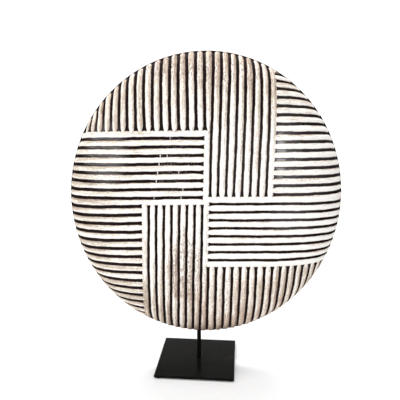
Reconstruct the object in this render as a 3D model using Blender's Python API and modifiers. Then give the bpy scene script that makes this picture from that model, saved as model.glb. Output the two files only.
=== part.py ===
# Bamileke shield on its stand: a carved wooden disc held up by a rod on a square steel plate.
# Metres, +Z up, the carved face towards -Y. The origin is on the ground, below the middle of
# the shield and in line with the rod.

import math
from collections import namedtuple

import bmesh
import bpy
import numpy as np
from mathutils import Matrix, Vector

# Shield: a flat face that rolls over to the rim in a quarter ellipse, and a straight band behind it.
# EDGE_ROLL is the roll-over's width at the shield's sides, and EDGE_DROP its depth.
SHIELD_WIDTH = 0.503
SHIELD_HEIGHT = 0.529
EDGE_ROLL = 0.1015
EDGE_DROP = 0.046
BAND_THICK = 0.016
BACK_EASE = 0.004
EDGE_RINGS = 5
SHIELD_STEPS = 64

# Carving: straight grooves, cut square to the face, whose lands between them are the ribs. Near the
# rim they run out, which leaves a plain lip all round. EDGE_RUNOUT and EDGE_LIP are the heights above
# the rim where they start to rise and where they end, and CUT_ABOVE how far their cutters stand proud.
GROOVE_WIDTH = 0.0050
GROOVE_FLOOR = 0.0022
GROOVE_DEPTH = 0.0038
EDGE_RUNOUT = 0.009
EDGE_LIP = 0.002
CUT_ABOVE = 0.002
BLOCK_GROOVES = 8

# Four blocks of ribs turn round the middle like a pinwheel. Beyond each block lies an outer field,
# whose ribs stop against that block's last rib and run the same way as the next block's ribs.
# quarter: the way the grooves run from their inner end, 0 right, 1 up, 2 left, 3 down
# first, pitch: from the centre line to the first groove, and between grooves, over the surface
# lean: how much the grooves drift further out for each metre that they run
# straight: how far out, as a share of the way to the rim, the grooves run straight as seen from the front
Field = namedtuple("Field", "name quarter block first pitch lean straight", defaults=(1.0,))
FIELDS = (
    Field("block_right", 0, True, 0.0025, 0.0149, -0.003),
    Field("block_top", 1, True, 0.0057, 0.0142, 0.022),
    Field("block_left", 2, True, 0.0096, 0.0150, -0.012),
    Field("block_bottom", 3, True, 0.0071, 0.0137, 0.017),
    Field("outer_right", 0, False, 0.0134, 0.0155, 0.011),
    Field("outer_top", 1, False, 0.0013, 0.0150, 0.014, 0.56),
    Field("outer_left", 2, False, 0.0040, 0.0156, 0.023),
    Field("outer_bottom", 3, False, 0.0043, 0.0147, -0.008),
)

# Stand. The rod stands left of the shield's middle, and a little right of the plate's.
# BACK_WALL is the wood left behind the rod's hole, and PAD_INSET is from the plate's edge to a pad's.
ROD_DIAMETER = 0.008
ROD_SHOWN = 0.062
ROD_INSIDE = 0.060
ROD_FROM_MIDDLE = -0.013
BACK_WALL = 0.0057
PLATE_SIDE = 0.150
PLATE_THICK = 0.005
PLATE_EASE = 0.0006
PLATE_TURN = math.radians(-5.0)
PLATE_FROM_ROD = -0.0035
PAD_DIAMETER = 0.012
PAD_THICK = 0.002
PAD_INSET = 0.002
STAND_STEPS = 24

# Clearance between neighbours, and around the rod in its hole
GAP = 0.0003

# How finely the courses of the grooves are worked out. A course takes the bend of each ring of the
# roll-over that lies further than START_CLEAR, in reach, from its inner end.
SURFACE_STEPS = 300
COURSE_STEPS = 60
START_ROUNDS = 4
RIM_HALVINGS = 24
START_CLEAR = 0.01
MERGE = 0.00001
FLAT_ANGLE = math.radians(0.1)
SMOOTH_ANGLE = math.radians(30)

SHORTEST_GROOVE = 2 * GROOVE_WIDTH
RUNOUT_LIFT = GROOVE_DEPTH + CUT_ABOVE / 2
HALF_WIDTH = SHIELD_WIDTH / 2
HALF_HEIGHT = SHIELD_HEIGHT / 2
FACE_SHARE = 1 - EDGE_ROLL / HALF_WIDTH
LIP_REACH = FACE_SHARE + (1 - FACE_SHARE) * math.sqrt(1 - (EDGE_LIP / EDGE_DROP) ** 2)
PLATE_BOTTOM = PAD_THICK + GAP
PLATE_TOP = PLATE_BOTTOM + PLATE_THICK
PLATE_X = ROD_FROM_MIDDLE + PLATE_FROM_ROD
ROD_BOTTOM = PLATE_TOP + GAP
ROD_ENTRY = PLATE_TOP + ROD_SHOWN
ROD_TOP = ROD_ENTRY + ROD_INSIDE
HOLE_DIAMETER = ROD_DIAMETER + 2 * GAP
SHIELD_Y = BACK_WALL + HOLE_DIAMETER / 2 - BAND_THICK
SHIELD_Z = ROD_ENTRY + HALF_HEIGHT * math.sqrt(1 - (ROD_FROM_MIDDLE / HALF_WIDTH) ** 2)


def make_material(name, colour, roughness, metallic=0.0):
    made = bpy.data.materials.new(name)
    made.use_nodes = True
    shader = made.node_tree.nodes["Principled BSDF"]
    shader.inputs["Base Color"].default_value = (*colour, 1.0)
    shader.inputs["Roughness"].default_value = roughness
    shader.inputs["Metallic"].default_value = metallic
    return made


def new_object(name, data, collection):
    made = bpy.data.objects.new(name, data)
    collection.objects.link(made)
    return made


def move_to(made, collection):
    for old in list(made.users_collection):
        old.objects.unlink(made)
    collection.objects.link(made)


def smooth(mesh):
    mesh.shade_smooth()
    mesh.set_sharp_from_angle(angle=SMOOTH_ANGLE)


def cut(target, cutter):
    boolean = target.modifiers.new(cutter.name, "BOOLEAN")
    boolean.operation = "DIFFERENCE"
    boolean.solver = "EXACT"
    boolean.material_mode = "TRANSFER"
    boolean.object = cutter
    cutter.hide_render = True
    cutter.display_type = "WIRE"


def cylinder(name, diameter, bottom, top, x, y, collection, finish):
    bpy.ops.mesh.primitive_cylinder_add(
        vertices=STAND_STEPS, radius=diameter / 2, depth=top - bottom, location=(x, y, (bottom + top) / 2)
    )
    made = bpy.context.active_object
    made.name = made.data.name = name
    made.data.materials.append(finish)
    smooth(made.data)
    move_to(made, collection)
    return made


# The shield is made lying face up: X to its right, Y to its top, Z out of its face, with Z 0 where
# the roll-over meets the rim. A reach is 0 in the middle of the shield and 1 at its rim.


def past_face(reach):
    """How far a reach is through the roll-over, from 0 at the flat face to 1 at the rim."""
    return np.clip((reach - FACE_SHARE) / (1 - FACE_SHARE), 0, 1)


def face_height(reach):
    return EDGE_DROP * np.sqrt(1 - past_face(reach) ** 2)


def reach_at(x, y):
    return np.hypot(x / HALF_WIDTH, y / HALF_HEIGHT)


def ring_reaches():
    """Reaches of the rings of the turned roll-over, with one where the grooves start to run out."""
    runout = math.acos(EDGE_RUNOUT / EDGE_DROP)
    turns = np.append(np.linspace(0, runout, EDGE_RINGS), math.pi / 2)
    return FACE_SHARE + (1 - FACE_SHARE) * np.sin(turns)


def face_normal(x, y):
    """Direction out of the face, which at the rim points sideways."""
    reach = max(float(reach_at(x, y)), 0.001)
    past = float(past_face(reach))
    slope = EDGE_DROP * past / (1 - FACE_SHARE) / reach
    level = math.sqrt(1 - past**2)
    return Vector((slope * x / HALF_WIDTH**2, slope * y / HALF_HEIGHT**2, level)).normalized()


def make_blank(collection, paint):
    """The uncarved shield, turned as a round and then drawn out to its height."""
    roll = [(HALF_WIDTH * reach, float(face_height(reach))) for reach in ring_reaches()]
    band = (HALF_WIDTH, BACK_EASE - BAND_THICK)
    back = (HALF_WIDTH - BACK_EASE, -BAND_THICK)
    profile = [(0.0, EDGE_DROP), *roll, band, back, (0.0, -BAND_THICK)]
    points = [(x, 0.0, z) for x, z in profile]
    links = [(i, i + 1) for i in range(len(points) - 1)]
    mesh = bpy.data.meshes.new("profile")
    mesh.from_pydata(points, links, [])
    blank = new_object("shield", mesh, collection)
    turn = blank.modifiers.new("turn", "SCREW")
    turn.steps = turn.render_steps = SHIELD_STEPS
    turn.use_merge_vertices = True
    turn.merge_threshold = MERGE
    flats = blank.modifiers.new("flats", "DECIMATE")
    flats.decimate_type = "DISSOLVE"
    flats.angle_limit = FLAT_ANGLE
    graph = bpy.context.evaluated_depsgraph_get()
    turned = bpy.data.meshes.new_from_object(blank.evaluated_get(graph))
    blank.modifiers.clear()
    blank.data = turned
    turned.name = "shield"
    for vertex in turned.vertices:
        vertex.co.y *= SHIELD_HEIGHT / SHIELD_WIDTH
    turned.materials.append(paint)
    smooth(turned)
    return blank


def direction(quarter):
    return Vector(((1, 0), (0, 1), (-1, 0), (0, -1))[quarter % 4])


def half_size(quarter):
    return HALF_HEIGHT if quarter % 2 else HALF_WIDTH


def across_quarter(field):
    """The way in which one groove of a field follows the next."""
    return (field.quarter + (-1 if field.block else 1)) % 4


def plan_distance(surface, share, half):
    """Turns a distance over the surface from a centre line into one in plan, or nan past the rim.

    share is the place along that line, and half the shield's half size square to it.
    """
    widest = math.sqrt(max(1 - share**2, 0.0))
    shares = widest * np.sin(np.linspace(0, math.pi / 2, SURFACE_STEPS))
    rise = np.diff(face_height(np.hypot(shares, share)))
    surfaces = np.concatenate([[0], np.cumsum(np.hypot(np.diff(shares) * half, rise))])
    return math.copysign(1, surface) * float(np.interp(abs(surface), surfaces, shares * half, right=np.nan))


def groove_over(field, number, run):
    """How far across the field, in plan, a groove lies once it has run so far out from the middle."""
    surface = field.first + number * field.pitch + field.lean * run
    row = min(run / half_size(field.quarter), field.straight)
    return plan_distance(surface, row, half_size(across_quarter(field)))


def groove_reach(field, number, run):
    """The reach of a groove's middle line once it has run so far out, or nan past the rim."""
    share = groove_over(field, number, run) / half_size(across_quarter(field))
    return math.hypot(run / half_size(field.quarter), share)


def inner_end(field, over):
    """Where a groove that lies so far across starts: against the edge rib of the block it meets."""
    side = across_quarter(field)
    meets = next(other for other in FIELDS if other.block and other.quarter == side)
    drift = meets.lean * over
    if field.block:
        surface = meets.pitch - meets.first - GROOVE_WIDTH / 2 - drift
    else:
        surface = meets.first + BLOCK_GROOVES * meets.pitch - GROOVE_WIDTH / 2 + drift
    return plan_distance(surface, over / half_size(side), half_size(field.quarter))


def groove_points(field, number):
    """The middle line of a groove, from its inner end out to the lip, or None where it has no room."""
    start = 0.0
    for _ in range(START_ROUNDS):
        over = groove_over(field, number, start)
        start = inner_end(field, over)
    if not groove_reach(field, number, start) < 1:
        return None
    rim, outside = start, half_size(field.quarter)
    for _ in range(RIM_HALVINGS):
        middle = (rim + outside) / 2
        if groove_reach(field, number, middle) < 1:
            rim = middle
        else:
            outside = middle
    if rim - start < SHORTEST_GROOVE:
        return None
    runs = start + (rim - start) * np.sin(np.linspace(0, math.pi / 2, COURSE_STEPS))
    overs = np.array([groove_over(field, number, run) for run in runs])
    along, across = direction(field.quarter), direction(across_quarter(field))
    xs = along.x * runs + across.x * overs
    ys = along.y * runs + across.y * overs
    reaches = reach_at(xs, ys)
    rings = [ring for ring in ring_reaches() if reaches[0] + START_CLEAR < ring < LIP_REACH]
    stops = [reaches[0], *rings, LIP_REACH]
    points = []
    for stop in stops:
        x, y = (float(np.interp(stop, reaches, places)) for places in (xs, ys))
        points.append(Vector((x, y, float(face_height(stop)))))
    points[-1] += face_normal(points[-1].x, points[-1].y) * RUNOUT_LIFT
    return points


def tilt_at(points, i):
    """The turn about the path that stands a groove's section square to the face."""
    before = (points[i] - points[max(i - 1, 0)]).normalized()
    after = (points[min(i + 1, len(points) - 1)] - points[i]).normalized()
    way = (before + after).normalized()
    upright = (Vector((0, 0, 1)) - way * way.z).normalized()
    right = way.cross(upright)
    normal = face_normal(points[i].x, points[i].y)
    return math.atan2(normal.dot(right), normal.dot(upright))


def make_section(collection):
    """A groove's section, looking along it: a tapered channel, open well above the face."""
    top = GROOVE_WIDTH / 2
    floor = GROOVE_FLOOR / 2
    over = top + (top - floor) * CUT_ABOVE / GROOVE_DEPTH
    outline = [(-over, CUT_ABOVE), (over, CUT_ABOVE), (floor, -GROOVE_DEPTH), (-floor, -GROOVE_DEPTH)]
    curve = bpy.data.curves.new("groove_section", "CURVE")
    curve.dimensions = "2D"
    line = curve.splines.new("POLY")
    line.points.add(len(outline) - 1)
    for point, (x, y) in zip(line.points, outline):
        point.co = (x, y, 0.0, 1.0)
    line.use_cyclic_u = True
    section = new_object("groove_section", curve, collection)
    section.hide_render = True
    return section


def make_groove_cutter(field, section, collection, finish):
    """All the grooves of one field, as one mesh of separate channels that follow the face."""
    curve = bpy.data.curves.new("grooves", "CURVE")
    curve.dimensions = "3D"
    curve.twist_mode = "Z_UP"
    curve.bevel_mode = "OBJECT"
    curve.bevel_object = section
    curve.use_fill_caps = True
    number = 0
    points = groove_points(field, number)
    while points and not (field.block and number == BLOCK_GROOVES):
        path = curve.splines.new("POLY")
        path.points.add(len(points) - 1)
        for i, (stop, place) in enumerate(zip(path.points, points)):
            stop.co = (*place, 1.0)
            stop.tilt = tilt_at(points, i)
        number += 1
        points = groove_points(field, number)
    paths = new_object("paths", curve, collection)
    graph = bpy.context.evaluated_depsgraph_get()
    mesh = bpy.data.meshes.new_from_object(paths.evaluated_get(graph))
    cutter = new_object("grooves_" + field.name, mesh, collection)
    bpy.data.objects.remove(paths, do_unlink=True)
    form = bmesh.new()
    form.from_mesh(mesh)
    bmesh.ops.remove_doubles(form, verts=form.verts, dist=MERGE)
    bmesh.ops.recalc_face_normals(form, faces=form.faces)
    form.to_mesh(mesh)
    form.free()
    mesh.materials.clear()
    mesh.materials.append(finish)
    return cutter


def make_shield(parts, cutters, ribs, grooves):
    shield = make_blank(parts, ribs)
    section = make_section(cutters)
    for field in FIELDS:
        cutter = make_groove_cutter(field, section, cutters, grooves)
        cutter.parent = shield
        cut(shield, cutter)
    shield.rotation_euler = (math.pi / 2, 0, 0)
    shield.location = (0, SHIELD_Y, SHIELD_Z)
    hole = cylinder("rod_hole", HOLE_DIAMETER, PLATE_TOP, ROD_TOP + GAP, ROD_FROM_MIDDLE, 0, cutters, grooves)
    cut(shield, hole)


def make_stand(parts, steel, rubber):
    cylinder("stand_rod", ROD_DIAMETER, ROD_BOTTOM, ROD_TOP, ROD_FROM_MIDDLE, 0, parts, steel)
    bpy.ops.mesh.primitive_cube_add(size=1)
    plate = bpy.context.active_object
    plate.name = plate.data.name = "stand_plate"
    for vertex in plate.data.vertices:
        vertex.co.x *= PLATE_SIDE
        vertex.co.y *= PLATE_SIDE
        vertex.co.z *= PLATE_THICK
    plate.location = (PLATE_X, 0, (PLATE_BOTTOM + PLATE_TOP) / 2)
    plate.rotation_euler = (0, 0, PLATE_TURN)
    plate.data.materials.append(steel)
    ease = plate.modifiers.new("ease", "BEVEL")
    ease.width = PLATE_EASE
    ease.segments = 2
    move_to(plate, parts)
    corner = PLATE_SIDE / 2 - PAD_INSET - PAD_DIAMETER / 2
    turn = Matrix.Rotation(PLATE_TURN, 2)
    for depth, y in (("front", -corner), ("back", corner)):
        for side, x in (("left", -corner), ("right", corner)):
            place = turn @ Vector((x, y))
            name = f"foot_pad_{depth}_{side}"
            cylinder(name, PAD_DIAMETER, 0, PAD_THICK, PLATE_X + place.x, place.y, parts, rubber)


def main():
    for old in list(bpy.data.objects):
        bpy.data.objects.remove(old, do_unlink=True)
    parts = bpy.data.collections.new("bamileke_shield")
    cutters = bpy.data.collections.new("cutters")
    bpy.context.scene.collection.children.link(parts)
    bpy.context.scene.collection.children.link(cutters)
    white = make_material("pale painted wood", (0.78, 0.74, 0.67), 0.6)
    black = make_material("black painted groove", (0.012, 0.011, 0.011), 0.4)
    steel = make_material("black painted steel", (0.016, 0.015, 0.014), 0.35)
    rubber = make_material("black rubber", (0.02, 0.02, 0.02), 0.8)
    make_shield(parts, cutters, white, black)
    make_stand(parts, steel, rubber)


main()
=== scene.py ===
import math
from collections import namedtuple

import bmesh
import bpy
import numpy as np
from mathutils import Matrix, Vector
from mathutils.geometry import delaunay_2d_cdt


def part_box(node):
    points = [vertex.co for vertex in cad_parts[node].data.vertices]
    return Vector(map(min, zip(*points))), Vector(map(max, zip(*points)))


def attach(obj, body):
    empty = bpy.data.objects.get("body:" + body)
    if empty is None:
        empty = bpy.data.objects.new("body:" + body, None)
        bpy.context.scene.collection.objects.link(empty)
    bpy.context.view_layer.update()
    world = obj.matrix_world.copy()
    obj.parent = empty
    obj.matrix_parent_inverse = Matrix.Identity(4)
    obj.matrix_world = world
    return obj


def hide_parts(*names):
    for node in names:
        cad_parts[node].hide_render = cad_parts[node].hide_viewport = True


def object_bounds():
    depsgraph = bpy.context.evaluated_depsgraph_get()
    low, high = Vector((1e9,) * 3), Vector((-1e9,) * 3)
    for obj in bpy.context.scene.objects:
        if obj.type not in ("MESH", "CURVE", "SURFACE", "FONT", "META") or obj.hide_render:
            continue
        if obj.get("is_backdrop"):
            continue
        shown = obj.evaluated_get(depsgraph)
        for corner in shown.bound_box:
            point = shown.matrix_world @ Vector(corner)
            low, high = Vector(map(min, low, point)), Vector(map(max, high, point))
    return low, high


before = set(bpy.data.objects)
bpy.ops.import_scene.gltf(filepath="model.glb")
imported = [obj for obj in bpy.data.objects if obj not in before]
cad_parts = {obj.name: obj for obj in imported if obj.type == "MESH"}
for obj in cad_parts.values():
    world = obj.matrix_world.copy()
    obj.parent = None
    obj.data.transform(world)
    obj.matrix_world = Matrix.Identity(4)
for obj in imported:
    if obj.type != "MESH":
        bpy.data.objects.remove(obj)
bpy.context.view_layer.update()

# The four foot pads. Small moulded discs of black rubber, glued under the plate's corners so that
# the steel doesn't scratch what it stands on.
PAD_ROUNDING = 0.0007
PAD_TOP_ROUNDING = PAD_ROUNDING / 2
PAD_TAPER = 0.0003
PAD_TO_PLATE = 0.00005
RUBBER = (0.018, 0.018, 0.018)
RUBBER_BLACK = (0.015, 0.015, 0.015)
RUBBER_DUST = (0.060, 0.058, 0.055)
POINTS_MEET = 0.00001
SHARP_EDGE = math.radians(40)


def arc(middle, height, radius, start, stop, steps=6):
    """Points of a rounding in a turned profile, as distances from the axis and heights."""
    turns = np.radians(np.linspace(start, stop, steps))
    return [(middle + radius * math.cos(turn), height + radius * math.sin(turn)) for turn in turns]


def put(name, data):
    """Puts a mesh, a light or a camera into the scene."""
    made = bpy.data.objects.new(name, data)
    bpy.context.scene.collection.objects.link(made)
    return made


def turned(name, profile, x, y, finish, steps=48):
    """A round piece, spun from its profile about an upright line through x and y."""
    form = bmesh.new()
    corners = [form.verts.new((radius, 0.0, height)) for radius, height in profile]
    lines = [form.edges.new(pair) for pair in zip(corners, corners[1:])]
    bmesh.ops.spin(
        form, geom=corners + lines, cent=(0, 0, 0), axis=(0, 0, 1), angle=math.tau, steps=steps
    )
    bmesh.ops.remove_doubles(form, verts=form.verts, dist=POINTS_MEET)
    bmesh.ops.recalc_face_normals(form, faces=form.faces)
    bmesh.ops.translate(form, verts=form.verts, vec=(x, y, 0))
    mesh = bpy.data.meshes.new(name)
    form.to_mesh(mesh)
    form.free()
    mesh.shade_smooth()
    mesh.set_sharp_from_angle(angle=SHARP_EDGE)
    mesh.materials.append(finish)
    return put(name, mesh)


def new_finish(name, colour, roughness, specular=0.5):
    """A finish with its node tree and its shader. It starts out plain, and is then the one in hand."""
    finish = bpy.data.materials.new(name)
    finish.use_nodes = True
    shader = finish.node_tree.nodes["Principled BSDF"]
    shader.inputs["Base Color"].default_value = (*colour, 1.0)
    shader.inputs["Roughness"].default_value = roughness
    shader.inputs["Specular IOR Level"].default_value = specular
    return finish, finish.node_tree, shader


def add(kind, sockets, **options):
    """Adds a node to the tree of the finish in hand. sockets gives values or links for its inputs."""
    made = tree.nodes.new("ShaderNode" + kind)
    for option, value in options.items():
        setattr(made, option, value)
    for socket, value in sockets.items():
        if isinstance(value, bpy.types.NodeSocket):
            tree.links.new(value, made.inputs[socket])
        else:
            made.inputs[socket].default_value = value
    return made


def between(value, low, high):
    """0 below low and 1 above high, with a soft step, or the other way round where low is higher."""
    sockets = {"Value": value, "From Min": low, "From Max": high}
    return add("MapRange", sockets, interpolation_type="SMOOTHSTEP").outputs["Result"]


def blend(share, under, over):
    """Colours under and over, mixed by share."""
    made = add("Mix", {"Factor": share}, data_type="RGBA")
    for socket, value in ((made.inputs[6], under), (made.inputs[7], over)):
        if isinstance(value, bpy.types.NodeSocket):
            tree.links.new(value, socket)
        else:
            socket.default_value = (*value, 1.0)
    return made.outputs[2]


def noise(place, scale, detail=2.0, roughness=0.5):
    sockets = {"Vector": place, "Scale": scale, "Detail": detail, "Roughness": roughness}
    return add("TexNoise", sockets).outputs["Fac"]


def bump(shader, height, distance, strength=1.0):
    made = add("Bump", {"Height": height, "Distance": distance, "Strength": strength})
    tree.links.new(made.outputs["Normal"], shader.inputs["Normal"])


def here():
    """The place on the piece, in metres, as it stands at rest."""
    return add("TexCoord", {}).outputs["Object"]


rubber, tree, shader = new_finish("black rubber pad", RUBBER, 0.8, 0.3)
dust = between(noise(here(), 900, 4), 0.5, 0.8)
tree.links.new(blend(dust, RUBBER_BLACK, RUBBER_DUST), shader.inputs["Base Color"])
bump(shader, noise(here(), 2600, 3), 0.00006)

plate_low, plate_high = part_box("stand_plate")
for depth in ("front", "back"):
    for side in ("left", "right"):
        node = f"foot_pad_{depth}_{side}"
        low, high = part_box(node)
        radius = (high.x - low.x) / 2
        top = plate_low.z - PAD_TO_PLATE
        top_radius = radius - PAD_TAPER - PAD_TOP_ROUNDING
        profile = [(0.0, low.z)]
        profile += arc(radius - PAD_ROUNDING, low.z + PAD_ROUNDING, PAD_ROUNDING, -90, 0)
        profile += arc(top_radius, top - PAD_TOP_ROUNDING, PAD_TOP_ROUNDING, 20, 90)
        profile += [(0.0, top)]
        pad_x = (low.x + high.x) / 2
        pad_y = (low.y + high.y) / 2
        pad = turned(f"rubber_pad_{depth}_{side}", profile, pad_x, pad_y, rubber)
        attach(pad, "root")
        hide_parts(node)

# The plate. A square of flat steel, its edges eased with a file and sprayed satin black. The paint has
# a fine orange peel, a little dust, and a few brownish rubs.
STEEL_PAINT = (0.004, 0.004, 0.003)
STEEL_BLACK = (0.0025, 0.0025, 0.0020)
STEEL_CLOUD = (0.0050, 0.0047, 0.0036)
STEEL_RUB = (0.020, 0.017, 0.011)
STEEL_DUST = (0.060, 0.057, 0.050)
RUB_STRENGTH = 0.5
DUST_STRENGTH = 0.35
STEEL_ROUGH = (0.24, 0.36)


def calc(operation, *values):
    return add("Math", dict(enumerate(values)), operation=operation).outputs[0]


def from_to(value, low, high):
    """Turns a value from 0 to 1 into one from low to high."""
    return add("MapRange", {"Value": value, "To Min": low, "To Max": high}).outputs["Result"]


def stretch(place, x, y, z):
    """A place with its three lengths multiplied, so that noise on it runs out into streaks."""
    return add("VectorMath", {0: place, 1: (x, y, z)}, operation="MULTIPLY").outputs[0]


steel, tree, shader = new_finish("satin black steel", STEEL_PAINT, 0.30, 0.030)
place = here()
cloud = noise(place, 26, 4, 0.6)
rubbed = between(noise(stretch(place, 30, 90, 30), 1.0, 5, 0.65), 0.56, 0.74)
dust = between(noise(place, 1500, 2), 0.68, 0.78)
colour = blend(cloud, STEEL_BLACK, STEEL_CLOUD)
colour = blend(calc("MULTIPLY", rubbed, RUB_STRENGTH), colour, STEEL_RUB)
colour = blend(calc("MULTIPLY", dust, DUST_STRENGTH), colour, STEEL_DUST)
tree.links.new(colour, shader.inputs["Base Color"])
tree.links.new(from_to(cloud, *STEEL_ROUGH), shader.inputs["Roughness"])
bump(shader, noise(place, 1100, 2), 0.00002, 0.6)
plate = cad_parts["stand_plate"]
plate.data.materials.clear()
plate.data.materials.append(steel)

# The rod. A round steel bar that is welded upright on the plate, with the weld filed to a small cove,
# and painted along with it. Its top is pushed into the shield.
ROD_COVE = 0.0018
ROD_CHAMFER = 0.0006
ROD_SHINE = 0.012

low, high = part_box("stand_rod")
rod_radius = (high.x - low.x) / 2
rod_x = (low.x + high.x) / 2
rod_y = (low.y + high.y) / 2
foot = plate_high.z
cove = arc(rod_radius + ROD_COVE, foot + ROD_COVE, ROD_COVE, 270, 180, steps=8)
profile = [(0.0, foot), *cove, (rod_radius, high.z - ROD_CHAMFER)]
profile += [(rod_radius - ROD_CHAMFER, high.z), (0.0, high.z)]
bar_paint = steel.copy()
bar_paint.name = "satin black bar"
bar_paint.node_tree.nodes["Principled BSDF"].inputs["Specular IOR Level"].default_value = ROD_SHINE
rod = turned("steel_rod", profile, rod_x, rod_y, bar_paint, steps=40)
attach(rod, "root")
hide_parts("stand_rod")

# The shield's form. One disc of wood, a little taller than wide, with a flat face that rolls over to
# the rim in a quarter of an ellipse, a straight band behind the rim, and a flat back. It is pushed
# down on the rod. Lengths and places on it are taken from the middle of its face.
EDGE_ROLL = 0.1015
BAND_THICK = 0.016
BACK_ROUND = 0.004
EDGE_STEPS = 400
LEAST = 0.0001

low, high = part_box("shield")
HALF_WIDTH = (high.x - low.x) / 2
HALF_HEIGHT = (high.z - low.z) / 2
MIDDLE_X = (low.x + high.x) / 2
MIDDLE_Z = (low.z + high.z) / 2
RIM_Y = high.y - BAND_THICK
EDGE_DROP = RIM_Y - low.y
FACE_SHARE = 1 - EDGE_ROLL / HALF_WIDTH

# Along the roll-over: how far it is from the rim over the surface, for each turn of its ellipse.
edge_turns = np.linspace(math.pi / 2, 0, EDGE_STEPS)
edge_ways = np.hypot(EDGE_ROLL * np.cos(edge_turns), EDGE_DROP * np.sin(edge_turns))
edge_steps = (edge_ways[1:] + edge_ways[:-1]) / 2 * math.pi / 2 / (EDGE_STEPS - 1)
edge_lengths = np.append(0, np.cumsum(edge_steps))
FULL_LENGTH = edge_lengths[-1] + FACE_SHARE * HALF_WIDTH


def past_face(reach):
    """How far a reach is through the roll-over. A reach is 0 in the middle and 1 at the rim."""
    return np.clip((reach - FACE_SHARE) / (1 - FACE_SHARE), 0, 1)


def face_height(reach):
    return EDGE_DROP * np.sqrt(1 - past_face(reach) ** 2)


def reach_at(x, y):
    return np.hypot(x / HALF_WIDTH, y / HALF_HEIGHT)


def from_rim(reach):
    """The way over the face from the rim to a reach."""
    on_edge = np.interp(np.arcsin(past_face(reach)), edge_turns[::-1], edge_lengths[::-1])
    return on_edge + np.maximum(FACE_SHARE - reach, 0) * HALF_WIDTH


def reach_from_rim(way):
    turn = np.interp(way, edge_lengths, edge_turns)
    flat = np.maximum(way - edge_lengths[-1], 0) / HALF_WIDTH
    return FACE_SHARE + (1 - FACE_SHARE) * np.sin(turn) - flat


def on_form(x, y, below):
    """Points of the uncarved form and the way out of it. below is the way past the rim, down the band."""
    reach = np.maximum(reach_at(x, y), LEAST)
    past = past_face(reach)
    slope = EDGE_DROP * past / (1 - FACE_SHARE) / reach
    level = np.sqrt(1 - past**2)
    straight = BAND_THICK - BACK_ROUND
    turn = np.clip((below - straight) / BACK_ROUND, 0, math.pi / 2)
    on_band = below > 0
    out = np.stack([slope * x / HALF_WIDTH**2, slope * y / HALF_HEIGHT**2, level], axis=-1)
    out /= np.linalg.norm(out, axis=-1, keepdims=True)
    side = out * (1, 1, 0)
    side /= np.maximum(np.linalg.norm(side, axis=-1, keepdims=True), LEAST)
    turned_out = side * np.cos(turn)[:, None] + np.array([0, 0, -1]) * np.sin(turn)[:, None]
    places = np.stack([x, y, EDGE_DROP * level], axis=-1)
    inward = BACK_ROUND * (1 - np.cos(turn))
    band = np.stack([x, y, -np.minimum(below, straight) - BACK_ROUND * np.sin(turn)], axis=-1)
    band -= side * inward[:, None]
    return np.where(on_band[:, None], band, places), np.where(on_band[:, None], turned_out, out)


# The carving. The carver cut straight grooves with a gouge, and what stands between them are the ribs.
# Four blocks of ribs turn round the middle like a pinwheel. Beyond each block lies an outer field,
# whose ribs stop against that block's last rib and run the same way as the next block's ribs.
# quarter: the way the grooves run from their inner end, 0 right, 1 up, 2 left, 3 down
# first, pitch: from the centre line to the first groove, and between grooves, over the surface
# lean: how much the grooves drift further out for each metre that they run
# width, rim_width: a groove's width near the middle of the shield and at its rim
# flare: how much each side of a groove widens at its inner end
# tan_in, tan_out: how much the ribs' white is rubbed to tan, in the middle and at the rim
# straight: how far out, as a share of the way to the rim, the grooves run straight as seen from the front
VALUES = "name quarter block first pitch lean width rim_width flare tan_in tan_out straight"
Field = namedtuple("Field", VALUES, defaults=(1.0,))
FIELDS = (
    Field("block_right", 0, True, 0.0025, 0.0149, -0.003, 0.0043, 0.0049, 0.0013, 0.00, 0.00),
    Field("block_top", 1, True, 0.0057, 0.0142, 0.022, 0.0041, 0.0052, 0.0012, 0.08, 0.62),
    Field("block_left", 2, True, 0.0096, 0.0150, -0.012, 0.0050, 0.0057, 0.0014, 0.06, 0.50),
    Field("block_bottom", 3, True, 0.0071, 0.0137, 0.017, 0.0043, 0.0047, 0.0010, 0.05, 0.72),
    Field("outer_right", 0, False, 0.0134, 0.0155, 0.011, 0.0047, 0.0055, 0.0008, 0.11, 0.12),
    Field("outer_top", 1, False, 0.0013, 0.0150, 0.014, 0.0047, 0.0055, 0.0019, 0.00, 0.60, 0.56),
    Field("outer_left", 2, False, 0.0040, 0.0156, 0.023, 0.0054, 0.0060, 0.0007, 0.05, 0.52),
    Field("outer_bottom", 3, False, 0.0043, 0.0147, -0.008, 0.0046, 0.0047, 0.0014, 0.02, 0.72),
)
BLOCK_GROOVES = 8
MOST_GROOVES = 20
SHORTEST_GROOVE = 0.010

# The grooves' inner ends keep END_GAP off the line where the groove ahead would come next, and bow out
# by END_BOW. A rib rounds off by CROWN over CROWN_WIDTH. RIB_END is where its paint stops short of the
# rim, and the grooves run out from RUNOUT_START to RUNOUT_END.
END_GAP = 0.0025
END_BOW = 0.0012
GROOVE_DEPTH = 0.0038
GROOVE_WALL = 0.0014
CROWN = 0.0018
CROWN_WIDTH = 0.0047
RIB_END = 0.0068
PAINT_CORNER = 0.0035
RUNOUT_START = 0.0056
RUNOUT_END = 0.0006
FLARE_LENGTH = 0.0090
FLARE_CURVE = 1.6

# How finely the courses of the grooves are worked out
TABLE_ROWS = 401
TABLE_STEPS = 300
START_STEPS = 801
COUNT_STEPS = 500
LEAST_SQUARE = 1e-9

HALVES = (HALF_WIDTH, HALF_HEIGHT)
WAYS = ((1, 0), (0, 1), (-1, 0), (0, -1))


def across_quarter(field):
    """The way in which one groove of a field follows the next."""
    return (field.quarter + (-1 if field.block else 1)) % 4


def half_size(quarter):
    return HALVES[quarter % 2]


def row_of(field, run):
    """The row along which ways across a field are measured at a run, as a share of the half size."""
    return np.minimum(run / half_size(field.quarter), field.straight)


def middle_way(field, number, run):
    """The way across a field to a groove's middle."""
    return field.first + number * field.pitch + field.lean * run


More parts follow.
